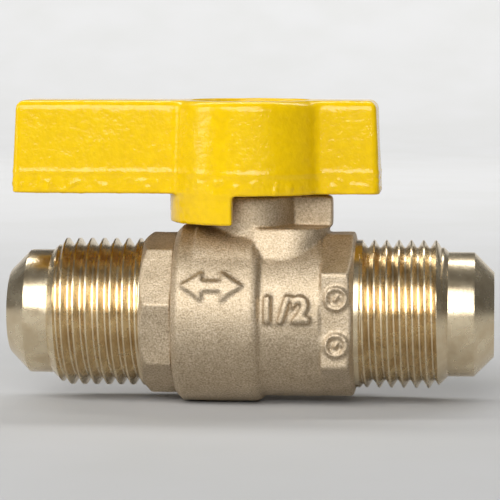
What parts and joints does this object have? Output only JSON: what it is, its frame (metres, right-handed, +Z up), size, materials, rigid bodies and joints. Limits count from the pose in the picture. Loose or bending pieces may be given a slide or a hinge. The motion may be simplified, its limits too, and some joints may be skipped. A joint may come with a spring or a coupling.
{
  "type": "gas valve",
  "caption": "Quarter-turn brass ball valve for gas with a male flare connection at each end and a yellow cast T-handle that swings between two stops.",
  "frame": {"origin": "centre of the ball, where the flow axis crosses the stem axis", "axes": "+X along the flow axis towards the outlet (integral end), +Z up along the stem towards the handle, -Y towards the viewer"},
  "size_m": [0.0625, 0.023, 0.039],
  "materials": {
    "forged_brass": "forged and blasted, with bright turned threads and noses",
    "turned_brass": "bright turned",
    "plated_ball": "chrome plated and polished",
    "yellow_paint": "glossy yellow paint on a zinc casting, slight orange peel",
    "ptfe": "white and waxy",
    "o_ring_rubber": "matte black",
    "zinc_steel": "bright zinc plated"
  },
  "bodies": {
    "valve_body": {"body": "forged_brass", "end_adapter": "forged_brass", "adapter_seal_ring": "ptfe", "inlet_seat": "ptfe", "outlet_seat": "ptfe"},
    "handle_assembly": {"handle": "yellow_paint", "stem": "turned_brass", "stem_thrust_washer": "ptfe", "stem_o_ring_lower": "o_ring_rubber", "stem_o_ring_upper": "o_ring_rubber", "handle_washer": "zinc_steel", "handle_lock_washer": "zinc_steel", "handle_screw": "zinc_steel"},
    "flow_ball": {"ball": "plated_ball"}
  },
  "joints": [
    {"name": "handle_turn", "type": "hinge", "parent": "valve_body", "child": "handle_assembly", "pos_m": [0, 0, 0], "axis": [0, 0, 1], "range_deg": [0, 90]},
    {"name": "ball_turn", "type": "hinge", "parent": "valve_body", "child": "flow_ball", "pos_m": [0, 0, 0], "axis": [0, 0, 1], "range_deg": [0, 90]}
  ],
  "couplings": [
    {"joint": "ball_turn", "follows": "handle_turn", "ratio": 1}
  ]
}
